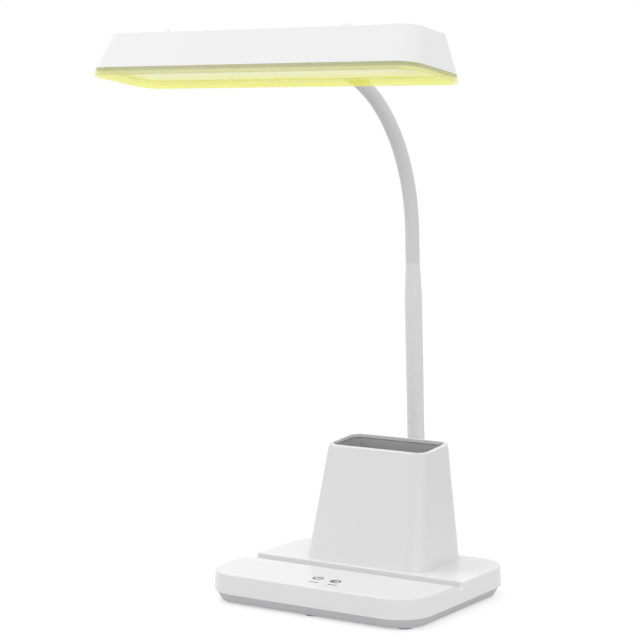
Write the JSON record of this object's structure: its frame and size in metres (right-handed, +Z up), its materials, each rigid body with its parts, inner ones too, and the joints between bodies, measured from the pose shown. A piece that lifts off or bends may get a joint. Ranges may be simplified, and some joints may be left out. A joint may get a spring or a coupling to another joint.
{
  "type": "desk lamp",
  "caption": "Gooseneck desk lamp with a long tapered light head, a pen cup and a phone slot across its low rounded base.",
  "frame": {"origin": "on the desk, under the middle of the base", "axes": "+Z up, -Y to the front where the touch keys are, +X to the right seen from the front"},
  "size_m": [0.2556, 0.2486, 0.403],
  "materials": {
    "white_plastic": "smooth, light satin gloss",
    "white_satin": "matt",
    "grey_plastic": "matt",
    "black_plastic": "matt",
    "rubber": "matt",
    "steel": "zinc plated",
    "core_steel": "plain",
    "white_paint": "satin paint",
    "sleeve": "soft matt",
    "board": "solder mask",
    "brass": "plain",
    "clear_yellow": "clear, polished",
    "diffuser": "frosted",
    "led": "smooth"
  },
  "bodies": {
    "base": {"arm_socket": "steel", "arm_tube": "white_paint", "base_bottom_cover": "grey_plastic", "base_screws": "steel", "base_top_shell": "white_plastic", "board_screws": "steel", "control_board": "board", "counterweight": "steel", "cup_liner": "grey_plastic", "cup_screws": "steel", "cup_shell": "white_plastic", "gooseneck_core_0": "core_steel", "gooseneck_sleeve_0": "sleeve", "key_springs": "brass", "power_inlet": "black_plastic", "rubber_feet": "rubber", "socket_screw": "steel", "taper_collar": "white_plastic"},
    "link_1": {"gooseneck_core_1": "core_steel", "gooseneck_sleeve_1": "sleeve"},
    "link_2": {"gooseneck_core_2": "core_steel", "gooseneck_sleeve_2": "sleeve"},
    "link_3": {"gooseneck_core_3": "core_steel", "gooseneck_sleeve_3": "sleeve"},
    "link_4": {"gooseneck_core_4": "core_steel", "gooseneck_sleeve_4": "sleeve"},
    "head": {"neck_tube": "white_paint", "head_cover": "white_plastic", "cover_plugs": "grey_plastic", "head_screws": "steel", "light_rim": "clear_yellow", "diffuser_panel": "diffuser", "reflector_tray": "white_satin", "led_board": "board", "led_chips": "led", "neck_bracket": "grey_plastic"}
  },
  "joints": [
    {"name": "bend_low", "type": "hinge", "parent": "base", "child": "link_1", "pos_m": [0, 0.07331, 0.27802], "axis": [1, 0, 0], "range_deg": [-30, 30]},
    {"name": "swing_low", "type": "hinge", "parent": "link_1", "child": "link_2", "pos_m": [0, 0.06036, 0.31539], "axis": [0, 0.881, 0.4731], "range_deg": [-25, 25]},
    {"name": "bend_middle", "type": "hinge", "parent": "link_2", "child": "link_3", "pos_m": [0, 0.03636, 0.34683], "axis": [1, 0, 0], "range_deg": [-30, 30]},
    {"name": "swing_high", "type": "hinge", "parent": "link_3", "child": "link_4", "pos_m": [0, 0.00373, 0.36918], "axis": [0, 0.4273, 0.9041], "range_deg": [-25, 25]},
    {"name": "bend_head", "type": "hinge", "parent": "link_4", "child": "head", "pos_m": [0, -0.03426, 0.3802], "axis": [1, 0, 0], "range_deg": [-30, 30]}
  ]
}
